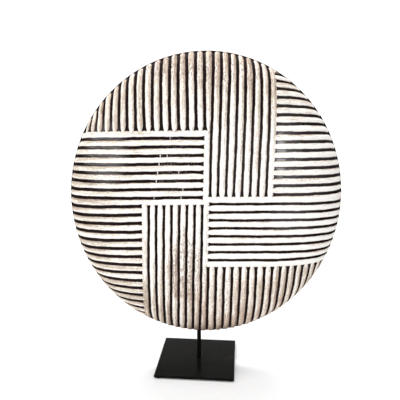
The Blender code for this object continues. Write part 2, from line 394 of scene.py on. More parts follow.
def number_at(field, run, way):
    """The number of the groove at a way across a field. It is a part number beside the middle."""
    return (way - field.first - field.lean * run) / field.pitch


# Ways over the face from a centre line, for each share along that line and each turn out to the rim,
# and the turns that given parts of the whole way belong to.
row_shares = np.linspace(-1, 1, TABLE_ROWS)[:, None]
row_widest = np.sqrt(np.maximum(1 - row_shares**2, LEAST_SQUARE))
turn_shares = row_widest * np.sin(np.linspace(0, math.pi / 2, TABLE_STEPS))
turn_heights = face_height(np.hypot(turn_shares, row_shares))
parts = np.linspace(0, 1, TABLE_STEPS)
way_tables = []
turn_tables = []
for half in HALVES:
    steps = np.hypot(np.diff(turn_shares, axis=1) * half, np.diff(turn_heights, axis=1))
    ways = np.concatenate([np.zeros((TABLE_ROWS, 1)), np.cumsum(steps, axis=1)], axis=1)
    way_tables.append(ways)
    turn_tables.append(np.array([np.interp(parts * row[-1], row, parts) for row in ways]))


def look_up(table, share, part):
    """A value between a table's rows and steps."""
    row = np.clip((share + 1) / 2, 0, 1) * (TABLE_ROWS - 1)
    step = np.clip(part, 0, 1) * (TABLE_STEPS - 1)
    above = np.minimum(row.astype(int), TABLE_ROWS - 2)
    before = np.minimum(step.astype(int), TABLE_STEPS - 2)
    row = row - above
    step = step - before
    upper = table[above, before] * (1 - step) + table[above, before + 1] * step
    lower = table[above + 1, before] * (1 - step) + table[above + 1, before + 1] * step
    return upper * (1 - row) + lower * row


def way_over(quarter, share, distance):
    """Turns a distance in plan from a centre line into one over the face."""
    widest = np.sqrt(np.maximum(1 - share**2, LEAST_SQUARE))
    turn = np.arcsin(np.clip(np.abs(distance) / half_size(quarter) / widest, 0, 1))
    return np.copysign(look_up(way_tables[quarter % 2], share, turn / (math.pi / 2)), distance)


def plan_of(quarter, share, way):
    """Turns a way over the face from a centre line into a distance in plan, or nan past the rim."""
    whole = look_up(way_tables[quarter % 2], share, np.ones_like(share))
    turn = look_up(turn_tables[quarter % 2], share, np.abs(way) / whole) * math.pi / 2
    widest = np.sqrt(np.maximum(1 - share**2, LEAST_SQUARE))
    found = np.copysign(half_size(quarter) * widest * np.sin(turn), way)
    return np.where((np.abs(way) <= whole) & (np.abs(share) < 1), found, np.nan)


def start_way(field, over):
    """How far out a field's grooves start: against the edge rib of the block that they meet."""
    meets = next(other for other in FIELDS if other.block and other.quarter == across_quarter(field))
    if field.block:
        return meets.pitch - meets.first - END_GAP - meets.lean * over
    return meets.first + BLOCK_GROOVES * meets.pitch - END_GAP + meets.lean * over


# Where each field's grooves start in plan, at even places across it.
start_overs = []
start_runs = []
for field in FIELDS:
    side = half_size(across_quarter(field))
    overs = np.linspace(-side, side, START_STEPS)[1:-1]
    runs = plan_of(field.quarter, overs / side, start_way(field, overs))
    known = np.isfinite(runs)
    start_overs.append(overs[known])
    start_runs.append(runs[known])


def start_at(k, over):
    return np.interp(over, start_overs[k], start_runs[k])


# A hand-held gouge wanders. Each groove drifts a little as a whole, and each of its edges wavers.
WANDER = ((0.210, 0.00025), (0.120, 0.00018), (0.067, 0.00012), (0.041, 0.00006))
WAVER = ((0.046, 0.00014), (0.027, 0.00012), (0.0165, 0.00010), (0.0102, 0.00007))
hand = np.random.default_rng(11)
wander_starts = hand.uniform(0, math.tau, (len(FIELDS), MOST_GROOVES, len(WANDER)))
waver_starts = hand.uniform(0, math.tau, (len(FIELDS), MOST_GROOVES, 2, len(WAVER)))


def sway(waves, starts, run):
    """The sum of some waves, each given by its length and height."""
    total = 0.0
    for i, (length, height) in enumerate(waves):
        total = total + height * np.sin(run * math.tau / length + starts[..., i])
    return total


def groove_edge(k, number, side, run, inner):
    """The way over the face to one edge of a groove. side is 0 towards the centre line or 1 away,
    and inner is how far the place is from the groove's inner end."""
    field = FIELDS[k]
    middle = middle_way(field, number, run) + sway(WANDER, wander_starts[k, number], run)
    flared = field.flare * np.clip(1 - inner / FLARE_LENGTH, 0, 1) ** FLARE_CURVE
    out_share = run / half_size(field.quarter)
    half = (field.width + (field.rim_width - field.width) * out_share) / 2 + flared
    return middle + (2 * side - 1) * half + sway(WAVER, waver_starts[k, number, side], run)


def in_field(k, x, y):
    """How far a place lies along and across a field in plan, the way across it, and how far it is
    from the inner end of the grooves there."""
    field = FIELDS[k]
    along = WAYS[field.quarter]
    across = WAYS[across_quarter(field)]
    run = along[0] * x + along[1] * y
    over = across[0] * x + across[1] * y
    way = way_over(across_quarter(field), row_of(field, run), over)
    return run, over, way, run - start_at(k, over)


def in_plan(field, run, over):
    """The place in plan that lies a run along a field and a distance across it."""
    along = WAYS[field.quarter]
    across = WAYS[across_quarter(field)]
    return along[0] * run + across[0] * over, along[1] * run + across[1] * over


def groove_counts():
    """How many grooves each field has: eight in a block, and in an outer field as many as fit."""
    counts = []
    for k, field in enumerate(FIELDS):
        half = half_size(field.quarter)
        side = half_size(across_quarter(field))
        runs = np.linspace(0, half, COUNT_STEPS)[1:-1]
        count = 0
        while count < (BLOCK_GROOVES if field.block else MOST_GROOVES):
            ways = middle_way(field, count, runs)
            overs = np.nan_to_num(plan_of(across_quarter(field), row_of(field, runs), ways), nan=1.0)
            reach = np.hypot(runs / half, overs / side)
            room = (reach < 1) & (runs - start_at(k, overs) > 0)
            if room.sum() * half / COUNT_STEPS < SHORTEST_GROOVE:
                break
            count += 1
        counts.append(count)
    return counts


GROOVES = groove_counts()


def carved(x, y):
    """What the carving does at places on the face: how far they are from the nearest groove's edge,
    less than nothing inside it, the same from the painted rib's own end, and which way that groove
    lies, to the right and down."""
    nearest = np.full(len(x), 1.0)
    right = np.zeros(len(x))
    down = np.zeros(len(x))
    for k, field in enumerate(FIELDS):
        run, _, way, inner = in_field(k, x, y)
        number = np.round(number_at(field, run, way)).astype(int)
        number = np.clip(number, 0, GROOVES[k] - 1)
        before = groove_edge(k, number, 0, run, inner) - way
        after = way - groove_edge(k, number, 1, run, inner)
        beside = np.maximum(before, after)
        short = END_BOW * np.clip(2 * beside / (before + after), 0, 1) - inner
        outside = np.hypot(np.maximum(beside, 0), np.maximum(short, 0))
        distance = np.where((beside > 0) | (short > 0), outside, np.maximum(beside, short))
        closer = distance < nearest
        nearest = np.where(closer, distance, nearest)
        across = WAYS[across_quarter(field)]
        facing = np.where(before > after, 1, -1) * (short <= np.maximum(beside, 0))
        right = np.where(closer, facing * across[0], right)
        down = np.where(closer, -facing * across[1], down)
    to_lip = from_rim(reach_at(x, y)) - RIB_END
    short_way = np.maximum(PAINT_CORNER - nearest, 0)
    rounded = PAINT_CORNER - np.hypot(short_way, np.maximum(PAINT_CORNER - to_lip, 0))
    at_corner = (nearest < PAINT_CORNER) & (to_lip < PAINT_CORNER)
    painted = np.where(at_corner, rounded, np.minimum(nearest, to_lip))
    return nearest, painted, right, down


# The shield's mesh. Its points lie along the edges, walls and crowns of the grooves and ribs, so that
# each cut is crisp, and in rings round the lip and band. Unrolled flat, they are joined to triangles.
GROOVE_LINES = (0, 0.28, 0.5, 0.72, 1)
RIB_LINES = (0.07, 0.18, 0.33, 0.5, 0.67, 0.82, 0.93)
INNER_STEPS = (0.0003, 0.0009, 0.0018, 0.0030, 0.0046)
LINE_STEP = 0.0036
LINE_STOP = 0.0076
RING_WAYS = (0.0068, 0.0056, 0.0044, 0.0032, 0.0020, 0.0010, 0.0)
BAND_WAYS = (0.0020, 0.0045, 0.0070, 0.0095, 0.0120, 0.0133, 0.0146, 0.0159, 0.0172)
RING_POINTS = 900
LINE_SAMPLES = 160

# How each line's ends are found: a first guess, some rounds that better it, and a limit near the rim
FIRST_RUN = 0.01
START_ROUNDS = 4
STOP_HALVINGS = 18
RIM_LIMIT = 0.9999
PAST_RIM = 9.0
LEAST_REACH = 0.000001

flat_points = []
chains = []


def unrolled(x, y, below=0.0):
    """Where a place of the form lies when it is unrolled flat from the middle outwards."""
    reach = np.maximum(reach_at(x, y), LEAST_REACH)
    length = FULL_LENGTH - from_rim(reach) + below
    return np.stack([x, y], axis=-1) / reach[..., None] * (length / HALF_WIDTH)[..., None]


def chain(points, closed=False):
    """Keeps points, and the lines that join each to the next."""
    first = sum(len(some) for some in flat_points)
    flat_points.append(points)
    chains.extend((first + i, first + i + 1) for i in range(len(points) - 1))
    if closed:
        chains.append((first + len(points) - 1, first))


def lay_lines(k, low_edge, high_edge, shares, first_run=0.0, last_run=None):
    """Lays lines of points between two edges, given as ways for some runs and inner distances."""
    field = FIELDS[k]
    side = across_quarter(field)
    half = half_size(field.quarter)
    shares = np.array(shares)[:, None]

    def places(runs):
        """Places across the field at those runs, found with and then without the flare's shift."""
        inner = np.full_like(runs, 1.0)
        for _ in range(2):
            low_way = low_edge(runs, inner)
            ways = low_way + shares * (high_edge(runs, inner) - low_way)
            overs = plan_of(side, row_of(field, runs), ways)
            inner = np.where(np.isfinite(overs), runs - start_at(k, np.nan_to_num(overs)), 1.0)
        return overs

    starts = np.full((len(shares), 1), FIRST_RUN)
    for _ in range(START_ROUNDS):
        overs = places(starts)
        starts = np.where(np.isfinite(overs), start_at(k, np.nan_to_num(overs)), starts)
    starts = np.maximum(starts, first_run)
    stop_reach = reach_from_rim(LINE_STOP)
    inside = starts.copy()
    outside = np.full_like(starts, half * RIM_LIMIT)
    for _ in range(STOP_HALVINGS):
        tried = (inside + outside) / 2
        overs = np.nan_to_num(places(tried), nan=PAST_RIM)
        fits = np.hypot(tried / half, overs / half_size(side)) < stop_reach
        inside = np.where(fits, tried, inside)
        outside = np.where(fits, outside, tried)
    stops = inside if last_run is None else np.minimum(inside, last_run)
    runs = starts + (stops - starts) * np.sin(np.linspace(0, math.pi / 2, LINE_SAMPLES))
    for line_runs, line_overs in zip(runs, places(runs)):
        if not np.isfinite(line_overs).all():
            continue
        x, y = in_plan(field, line_runs, line_overs)
        z = face_height(reach_at(x, y))
        lengths = np.append(0, np.cumsum(np.sqrt(np.diff(x) ** 2 + np.diff(y) ** 2 + np.diff(z) ** 2)))
        whole = lengths[-1]
        if whole < LINE_STEP:
            continue
        near = [step for step in INNER_STEPS if step < whole - LINE_STEP / 2]
        rest = max(int(round((whole - near[-1]) / LINE_STEP)), 1)
        stations = np.append(near, np.linspace(near[-1], whole, rest + 1)[1:])
        chain(unrolled(np.interp(stations, lengths, x), np.interp(stations, lengths, y)))


def edge_of(k, number, side):
    return lambda runs, inner: groove_edge(k, np.full(runs.shape, number), side, runs, inner)


for k, field in enumerate(FIELDS):
    for number in range(GROOVES[k]):
        lay_lines(k, edge_of(k, number, 0), edge_of(k, number, 1), GROOVE_LINES)
    for number in range(GROOVES[k] - 1):
        lay_lines(k, edge_of(k, number, 1), edge_of(k, number + 1, 0), RIB_LINES)
    if field.block:
        last = BLOCK_GROOVES - 1
        outer_k = next(
            i for i, other in enumerate(FIELDS) if not other.block and other.quarter == field.quarter
        )
        far_edge = field.first + BLOCK_GROOVES * field.pitch - END_GAP
        near_edge = field.first - field.pitch + END_GAP
        step_run = float(start_at(outer_k, 0.0))
        lay_lines(
            k, edge_of(k, last, 1), lambda runs, inner: far_edge + field.lean * runs, (*RIB_LINES, 1.0)
        )
        lay_lines(
            k, lambda runs, inner: near_edge + field.lean * runs, edge_of(k, 0, 0), (0.0, *RIB_LINES),
            last_run=step_run - END_GAP,
        )
        lay_lines(
            k, lambda runs, inner: -groove_edge(outer_k, 0, 0, runs, inner * 0 + 1), edge_of(k, 0, 0),
            RIB_LINES, first_run=step_run,
        )

# Each rib's inner end is a rounded nose, set off from the rib that it meets by a shallow valley.
NOSE_START = 0.0003
NOSE_BULGE = 0.0030
NOSE_PARTS = np.linspace(-0.84, 0.84, 9)[None, :]
NOSE_LINES = np.array((-0.0009, 0.0, 0.0009))[:, None]
NOSE_ROUNDS = 5


def nose_at(part):
    """Where the valley round a nose lies, from the grooves' inner end. part is -1 and 1 at a rib's
    two sides."""
    return NOSE_START - NOSE_BULGE * (1 - part**2)


for k, field in enumerate(FIELDS):
    for number in range(GROOVES[k] - 1):
        numbers = number + 0.5 + NOSE_PARTS / 2
        runs = np.full((NOSE_LINES.size, NOSE_PARTS.size), FIRST_RUN)
        for _ in range(NOSE_ROUNDS):
            ways = middle_way(field, numbers, runs)
            overs = plan_of(across_quarter(field), row_of(field, runs), ways)
            runs = start_at(k, overs) + nose_at(NOSE_PARTS) + NOSE_LINES
        x, y = in_plan(field, runs.ravel(), overs.ravel())
        if (from_rim(reach_at(x, y)) > LINE_STOP).all():
            flat_points.append(unrolled(x, y))

ring_turns = np.linspace(0, math.tau, RING_POINTS, endpoint=False)
ring_x = HALF_WIDTH * np.cos(ring_turns)
ring_y = HALF_HEIGHT * np.sin(ring_turns)
for way in RING_WAYS:
    reach = reach_from_rim(way)
    chain(unrolled(ring_x * reach, ring_y * reach), closed=True)

# The rod's hole goes up into the band at the bottom of the rim, and the band's points keep off it.
HOLE_CLEAR = 0.0003
HOLE_POINTS = 28
HOLE_ROOM = 0.0007

hole_radius = rod_radius + HOLE_CLEAR
hole_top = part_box("stand_rod")[1].z + HOLE_CLEAR
hole_turns = np.linspace(0, math.tau, HOLE_POINTS, endpoint=False)
hole_across = rod_x - MIDDLE_X
hole_deep = rod_y - RIM_Y
hole_x = hole_across + hole_radius * np.cos(hole_turns)
hole_below = hole_deep - hole_radius * np.sin(hole_turns)
hole_y = -HALF_HEIGHT * np.sqrt(1 - (hole_x / HALF_WIDTH) ** 2)
for below in BAND_WAYS:
    off_hole = np.hypot(ring_x - hole_across, below - hole_deep) > hole_radius + HOLE_ROOM
    kept = off_hole | (ring_y > 0)
    flat_points.append(unrolled(ring_x[kept], ring_y[kept], below))
hole_first = sum(len(some) for some in flat_points)
chain(unrolled(hole_x, hole_y, hole_below), closed=True)

# Places that no line comes near are filled with an even spread of points, up to a reach near the rim.
FILL_STEP = 0.0030
FILL_REACH = 0.97
POINT_ERROR = 1e-7

taken = set()
for i, j in np.floor(np.concatenate(flat_points) / FILL_STEP).astype(int):
    taken.update((i + a, j + b) for a in (-1, 0, 1) for b in (-1, 0, 1))
cells = int(HALF_HEIGHT / FILL_STEP) + 2
spread = [
    ((i + 0.5 + 0.25 * (j % 2)) * FILL_STEP, (j + 0.5) * FILL_STEP)
    for i in range(-cells, cells)
    for j in range(-cells, cells)
    if (i, j) not in taken and reach_at(i * FILL_STEP, j * FILL_STEP) < FILL_REACH
]
if spread:
    flat_points.append(np.array(spread))

flat_verts, _, triangles, sources, *_ = delaunay_2d_cdt(
    [Vector(point) for point in np.concatenate(flat_points)], chains, [], 0, POINT_ERROR
)
triangles = np.array(triangles)
flat = np.array([tuple(vert) for vert in flat_verts])
made_from = {source: i for i, some in enumerate(sources) for source in some}
hole_ring = np.array([made_from[hole_first + i] for i in range(HOLE_POINTS)])
triangles = triangles[~np.isin(triangles, hole_ring).all(axis=1)]

# The relief. Every point is moved along the way out of the form: down in the grooves, down a little
# where a rib rounds off to its edge, and up and down by a hair where the carver's hand was uneven.
CROWN_FADE = (0.003, 0.008)
LIP_DROP = 0.0002
LIP_WIDTH = 0.0025
LIP_EASE = 0.002
VALLEY_DEPTH = 0.0006
VALLEY_WIDTH = 0.0009
VALLEY_EASE = 0.0012
FULL_FLARE = 0.0014
UNEVEN = 0.00020
UNEVEN_WAVES = ((0.061, 0.9), (0.043, 2.2), (0.029, 4.0), (0.083, 5.3), (0.024, 0.2))
UNEVEN_SHIFT = 7
EVEN_BY_RIM = (0.004, 0.020)
EVEN_BY_BAND = 0.004
EVEN_BY_HOLE = 0.006


def ramp(value, low, high):
    """The same soft step as in the finishes, for numbers."""
    share = np.clip((value - low) / (high - low), 0, 1)
    return share * share * (3 - 2 * share)


flat_reach = reach_at(flat[:, 0], flat[:, 1])
rim_way = FULL_LENGTH - HALF_WIDTH * flat_reach
below = np.maximum(-rim_way, 0)
reach = np.where(rim_way > 0, reach_from_rim(np.maximum(rim_way, 0)), 1.0)
x, y = (flat / flat_reach[:, None] * reach[:, None]).T
places, out = on_form(x, y, below)
groove_way, paint_way, side_right, side_down = carved(x, y)
fade = ramp(rim_way, RUNOUT_END, RUNOUT_START)
rib_drop = CROWN * np.clip(1 - groove_way / CROWN_WIDTH, 0, 1) ** 2 * ramp(rim_way, *CROWN_FADE)
groove_drop = (GROOVE_DEPTH - CROWN) * ramp(-groove_way, 0, GROOVE_WALL) * fade
lip_drop = LIP_DROP * ramp(rim_way, RIB_END + LIP_WIDTH, RIB_END) * ramp(rim_way, 0, LIP_EASE)
valley_drop = np.zeros(len(x))
for k, field in enumerate(FIELDS):
    run, _, way, inner = in_field(k, x, y)
    in_place = (way > field.first - field.pitch / 2) & (run > 0)
    if field.block:
        in_place &= way < field.first + (BLOCK_GROOVES - 0.5) * field.pitch
    number = number_at(field, run, way)
    off_valley = inner - nose_at(2 * (number - np.floor(number)) - 1)
    depth = VALLEY_DEPTH * min(field.flare / FULL_FLARE, 1) ** 2
    valley_drop += depth * np.exp(-((off_valley / VALLEY_WIDTH) ** 2)) * in_place
valley_drop *= ramp(groove_way, 0, VALLEY_EASE) * fade
nose = valley_drop / VALLEY_DEPTH
swells = [
    np.sin((x * math.cos(turn) + y * math.sin(turn)) * math.tau / length + turn * UNEVEN_SHIFT)
    for length, turn in UNEVEN_WAVES
]
uneven_drop = UNEVEN * (1 + sum(swells) / len(swells))
uneven_drop *= np.where(rim_way > 0, ramp(rim_way, *EVEN_BY_RIM), ramp(below, 0, EVEN_BY_BAND))
by_hole = ramp(np.hypot(x - hole_across, below - hole_deep) - hole_radius, 0, EVEN_BY_HOLE)
uneven_drop *= np.where((below > 0) & (y < 0), by_hole, 1)
uneven_drop *= ramp(below, BAND_THICK - BACK_ROUND, EVEN_BY_BAND)
drop = rib_drop + groove_drop + lip_drop + valley_drop + uneven_drop
places = places - out * np.where(rim_way > 0, drop, uneven_drop)[:, None]

# The back. Flat, and dressed with an adze that left rows of shallow scoops. The rows bow a little,
# and each starts at another place, ROW_SHIFT further on and a varying ROW_SWAY more.
BACK_STEP = 0.0040
BACK_UNEVEN = BACK_STEP / 12
BACK_CLEAR = 0.6 * BACK_STEP
RING_ERROR = 0.000001
SCOOP_LENGTH = 0.034
SCOOP_WIDTH = 0.019
SCOOP_DEPTH = 0.0006
SCOOP_FADE = (1.0, 0.96)
ROW_BOW = 0.22
ROW_BOW_TURN = 31
ROW_SHIFT = 0.37
ROW_SWAY = 0.2
ROW_SWAY_TURN = 2.3

last_ring = np.flatnonzero(below > BAND_WAYS[-1] - RING_ERROR)
last_ring = last_ring[np.argsort(np.arctan2(y[last_ring], x[last_ring]))]
back_edge = places[last_ring, :2]
back_width, back_height = np.abs(back_edge).max(axis=0)
rows = np.arange(-back_height, back_height, BACK_STEP * math.sqrt(0.75))
columns = np.arange(-back_width, back_width, BACK_STEP)
grid_x = (columns[None, :] + (np.arange(len(rows))[:, None] % 2) * BACK_STEP / 2).ravel()
grid_y = np.repeat(rows, len(columns))
grid_x = grid_x + hand.normal(0, BACK_UNEVEN, len(grid_x))
inside = np.hypot(grid_x / back_width, grid_y / back_height) < 1 - BACK_CLEAR / back_width
back_points = np.concatenate([back_edge, np.stack([grid_x, grid_y], axis=-1)[inside]])
ring_count = len(last_ring)
ring_chain = [(i, (i + 1) % ring_count) for i in range(ring_count)]
back_verts, _, back_triangles, *_ = delaunay_2d_cdt(
    [Vector(point) for point in back_points], ring_chain, [], 1, POINT_ERROR
)
back_flat = np.array([tuple(vert) for vert in back_verts])
scoop_row = back_flat[:, 1] / SCOOP_WIDTH + ROW_BOW * np.sin(back_flat[:, 0] * ROW_BOW_TURN)
row_number = np.round(scoop_row)
scoop_place = back_flat[:, 0] / SCOOP_LENGTH + ROW_SHIFT * row_number
scoop_place += ROW_SWAY * np.sin(row_number * ROW_SWAY_TURN)
across_scoop = (scoop_row - row_number) * 2
along_scoop = (scoop_place - np.round(scoop_place)) * 2
scooped = SCOOP_DEPTH * (1 - (across_scoop**2 + along_scoop**2) / 2)
back_reach = np.hypot(back_flat[:, 0] / back_width, back_flat[:, 1] / back_height)
scooped *= ramp(back_reach, *SCOOP_FADE)
back_places = np.column_stack([back_flat, -BAND_THICK + scooped])

# The whole mesh: front and band, then the back's own points, then the walls and end of the hole.
SHARP_CUT = math.radians(70)

front_count = len(places)
back_index = np.concatenate([last_ring, front_count + np.arange(len(back_places) - ring_count)])
back_faces = back_index[np.array(back_triangles)][:, ::-1]
all_places = np.concatenate([places, back_places[ring_count:]])
wall_first = len(all_places)
wall = all_places[hole_ring] * (1, 0, 1) + (0, hole_top - MIDDLE_Z, 0)
wall_end = [hole_across, hole_top - MIDDLE_Z, -hole_deep]
all_places = np.concatenate([all_places, wall, [wall_end]])
hole_faces = []
for i in range(HOLE_POINTS):
    after = (i + 1) % HOLE_POINTS
    hole_faces.append((hole_ring[i], hole_ring[after], wall_first + after))
    hole_faces.append((hole_ring[i], wall_first + after, wall_first + i))
    hole_faces.append((wall_first + i, wall_first + after, wall_first + HOLE_POINTS))
all_faces = np.concatenate([triangles, back_faces, np.array(hole_faces)])
world_places = np.column_stack(
    [MIDDLE_X + all_places[:, 0], RIM_Y - all_places[:, 2], MIDDLE_Z + all_places[:, 1]]
)
shield_mesh = bpy.data.meshes.new("carved_shield")
shield_mesh.from_pydata(world_places.tolist(), [], all_faces.tolist())
shield_mesh.shade_smooth()
shield_mesh.set_sharp_from_angle(angle=SHARP_CUT)
shield = put("carved_shield", shield_mesh)
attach(shield, "root")
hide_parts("shield")

# What the finish needs to know at each point: how far it is from the paint's edge and from the rim, in
# millimetres. side runs from 1 at a rib's right or upper edge to -1 at its left or lower one; the finish
# tints the right and upper edges toward tan, partly as rubbed chalk and partly as painted shade from a
# light at the lower left. The worn value is how much of the white is rubbed to tan, with painted shade
# added on rib tips at the rim. Outer fields come first, as the blocks lie over them.
MM = 1000.0
OFF_FACE = -9.0
RIB_HALF = 0.0048
END_ROOM = 0.001
WEAR_REACH = (0.30, 0.97)


def keep_values(name, front_values, rest=0.0):
    """Keeps a value for each point. The back and the hole take the value rest."""
    values = np.full(len(all_places), rest, dtype=np.float32)
    values[:front_count] = front_values
    shield_mesh.attributes.new(name, "FLOAT", "POINT").data.foreach_set("value", values)


worn_and_shaded = np.zeros(front_count)
owner = np.full(front_count, -1)
for k, field in sorted(enumerate(FIELDS), key=lambda numbered: numbered[1].block):
    run, over, way, inner = in_field(k, x, y)
    if field.block:
        low_way = field.first - field.pitch + END_GAP + field.lean * run
        high_way = field.first + BLOCK_GROOVES * field.pitch - END_GAP + field.lean * run
        own = (inner > -END_ROOM) & (way > low_way) & (way < high_way)
    else:
        own = (run > 0) & (over > 0)
    out_share = ramp(reach_at(x, y), *WEAR_REACH)
    worn_and_shaded = np.where(own, field.tan_in + (field.tan_out - field.tan_in) * out_share, worn_and_shaded)
    owner = np.where(own, k, owner)
# Painted shade and rubbing: a rib's right and upper edges are tinted tan, as if lit from the lower left.
side_wear_and_shade = (side_right - side_down) * np.clip(1 - groove_way / RIB_HALF, 0, 1)
keep_values("paint_way", paint_way * MM, OFF_FACE)
keep_values("rim_way", rim_way * MM, OFF_FACE)
keep_values("side", side_wear_and_shade)

# Patches of the face that look different, as places across and up from its middle, half sizes, and
# how strong they are. The chalk has come off in flecks, is rubbed to bare wood, stained reddish or
# warmer in tone, or lies as dust in the grooves. The rubbed patches lie along the rim, where they darken
# the rib tips partly as rubbing and partly as painted shade. The grooves of some blocks are polished by
# hands.
PATCH_FADE = (1.25, 0.5)
FLECK_WEAR = 0.25
WELL_WORN = 0.5
FLECKED = (
    (-0.037, -0.130, 0.040, 0.085, 1.0),
    (0.030, -0.165, 0.070, 0.045, 0.45),
    (-0.050, 0.235, 0.110, 0.024, 1.0),
    (0.040, 0.225, 0.080, 0.030, 0.8),
    (-0.125, 0.165, 0.030, 0.040, 0.4),
)
# Rubbed patches at the upper right, top and bottom rim: partly rubbed chalk, partly painted shade.
RUBBED_AND_SHADED = (
    (0.155, 0.185, 0.055, 0.060, 0.25),
    (0.020, 0.268, 0.150, 0.032, 0.20),
    (0.020, -0.266, 0.125, 0.026, 0.42),
)
REDDENED = (
    (0.087, 0.095, 0.014, 0.050, 0.9),
    (0.246, 0.000, 0.014, 0.014, 1.0),
    (0.170, 0.070, 0.060, 0.060, 0.4),
    (0.110, -0.065, 0.090, 0.040, 0.3),
    (-0.180, -0.110, 0.060, 0.070, 0.4),
)
DUSTED = (
    (-0.055, 0.060, 0.045, 0.065, 1.0),
    (0.070, -0.050, 0.060, 0.055, 0.6),
)
POLISHED = (
    (0.129, 0.083, 0.012, 0.050, 3.0),
    (0.140, 0.080, 0.035, 0.075, 1.0),
    (0.180, 0.060, 0.050, 0.080, 0.5),
    (0.150, 0.170, 0.040, 0.050, 0.4),
    (0.060, 0.080, 0.060, 0.080, 0.25),
    (0.155, -0.030, 0.045, 0.035, 0.8),
    (-0.180, 0.085, 0.040, 0.060, 1.3),
)
WARMED = (
    (0.070, -0.190, 0.150, 0.070, 1.0),
    (0.020, 0.230, 0.100, 0.040, 0.2),
)


def in_patches(patches):
    shares = []
    for across, up, half_width, half_height, strength in patches:
        away = np.hypot((x - across) / half_width, (y - up) / half_height)
        shares.append(strength * ramp(away, *PATCH_FADE))
    return np.max(shares, axis=0)


flecked = in_patches(FLECKED)
keep_values("flecked", flecked)
keep_values("reddened", in_patches(REDDENED))
keep_values("dusted", in_patches(DUSTED))
keep_values("polished", in_patches(POLISHED))
keep_values("warmed", in_patches(WARMED))
# The tan share: rubbed chalk, with painted shade from the patches along the rim.
keep_values("worn_and_shaded", worn_and_shaded + FLECK_WEAR * flecked * (worn_and_shaded < WELL_WORN) + in_patches(RUBBED_AND_SHADED))
# The valleys round the noses, which the finish tints tan as painted shade.
keep_values("nose", nose)

# Along each rib runs its own grain: the way along it, the way across, and a number for the rib.
RIB_APART = 0.37
FIELD_APART = 5.1

face_owner = np.sort(owner[triangles], axis=1)[:, 1]
grain = np.zeros((len(all_faces), 3, 3), dtype=np.float32)
for k, field in enumerate(FIELDS):
    run, _, way, _ = in_field(k, x, y)
    mine = np.flatnonzero(face_owner == k)
    corners = triangles[mine]
    rib = np.round(np.median(np.floor(number_at(field, run, way))[corners], axis=1))
    grain[mine, :, 0] = run[corners]
    grain[mine, :, 1] = way[corners]
    grain[mine, :, 2] = (rib * RIB_APART + k * FIELD_APART)[:, None]
held = shield_mesh.attributes.new("grain", "FLOAT_VECTOR", "CORNER")
held.data.foreach_set("vector", grain.ravel())

# The shield's finish. The wood was blackened all over, and the ribs were then chalked white. On the
# ribs' edges and towards the rim the white has been rubbed down to cream, tan and bare brown wood. Some
# of that tan is painted shade: on each rib's right and upper edge, in the valleys round the noses, and
# on rib tips along the upper and lower rim.
BLACK = (0.0075, 0.0028, 0.0036)
BROWN_BLACK = (0.0150, 0.0075, 0.0072)
WOOD = (0.210, 0.150, 0.115)
TAN = (0.480, 0.398, 0.320)
WARM_TAN = (0.500, 0.385, 0.300)
CREAM = (0.760, 0.702, 0.620)
CHALK = (0.828, 0.810, 0.768)

painted_wood, tree, shader = new_finish("chalked and blackened wood", CHALK, 0.75, 0.12)


def held_value(name):
    return add("Attribute", {}, attribute_name=name).outputs["Fac"]


def plus(value, more, share):
    """A value with a share of another one added."""
    return calc("ADD", value, calc("MULTIPLY", more, share))


def marks(pattern, patches, gain, low, high):
    """Marks where a pattern is high, with more of them in the patches of one kind."""
    return between(plus(pattern, held_value(patches), gain), low, high)


place = here()
grain_place = add("Attribute", {}, attribute_name="grain").outputs["Vector"]

broad = noise(place, 240, 3, 0.55)
fine = noise(place, 1300, 3, 0.6)
streak = noise(stretch(grain_place, 22, 420, 40), 1.0, 4, 0.6)
fine_streak = noise(stretch(grain_place, 70, 1500, 40), 1.0, 3, 0.6)
rib_tone = noise(stretch(grain_place, 7, 0, 40), 1.0, 1, 0.5)
mottle = noise(place, 46, 4, 0.6)
speck = noise(stretch(grain_place, 260, 480, 40), 1.0, 2, 0.6)

# The paint's edge is ragged, by about half a millimetre, with a thin line of bare wood along it.
RAGGED_MIDDLE = 0.65
WHITE_EDGE = (0.15, 0.65)
WOOD_EDGE = (-0.30, 0.15)

ragged = plus(calc("MULTIPLY", broad, 0.8), fine, 0.5)
edge = calc("ADD", held_value("paint_way"), calc("SUBTRACT", ragged, RAGGED_MIDDLE))
white_share = between(edge, *WHITE_EDGE)
wood_share = between(edge, *WOOD_EDGE)

# The white is tinted toward tan on the ribs' right and upper sides, partly as rubbing and partly as
# painted shade, and in the valleys round the noses as painted shade. It swings with the grain and from
# rib to rib.
SIDE_WEAR_AND_SHADE = 0.32
NOSE_VALLEY_SHADE = 0.25
WEAR_SWINGS = ((streak, 1.6), (fine_streak, 1.3), (rib_tone, 0.8), (mottle, 0.6), (speck, 1.0))
TO_CREAM = (0.16, 0.52)
TO_TAN = (0.32, 0.80)
TO_WOOD = (0.80, 1.35)

# Painted shade, in part: the tint on each rib's right and upper side.
wear_and_shade = plus(held_value("worn_and_shaded"), held_value("side"), SIDE_WEAR_AND_SHADE)
# Painted shade in the valleys round the noses.
wear_and_shade = plus(wear_and_shade, held_value("nose"), NOSE_VALLEY_SHADE)
for pattern, strength in WEAR_SWINGS:
    wear_and_shade = plus(wear_and_shade, calc("SUBTRACT", pattern, 0.5), strength)
tan = blend(held_value("warmed"), TAN, WARM_TAN)
colour = blend(between(wear_and_shade, *TO_CREAM), CHALK, CREAM)
colour = blend(between(wear_and_shade, *TO_TAN), colour, tan)
colour = blend(between(wear_and_shade, *TO_WOOD), colour, WOOD)

# Flecks of bare wood, and reddish stains.
FLECK_BROWN = (0.270, 0.185, 0.160)
FLECK_STRENGTH = 0.75
STAIN_RED = (0.640, 0.430, 0.360)
STAIN_STRENGTH = 0.65

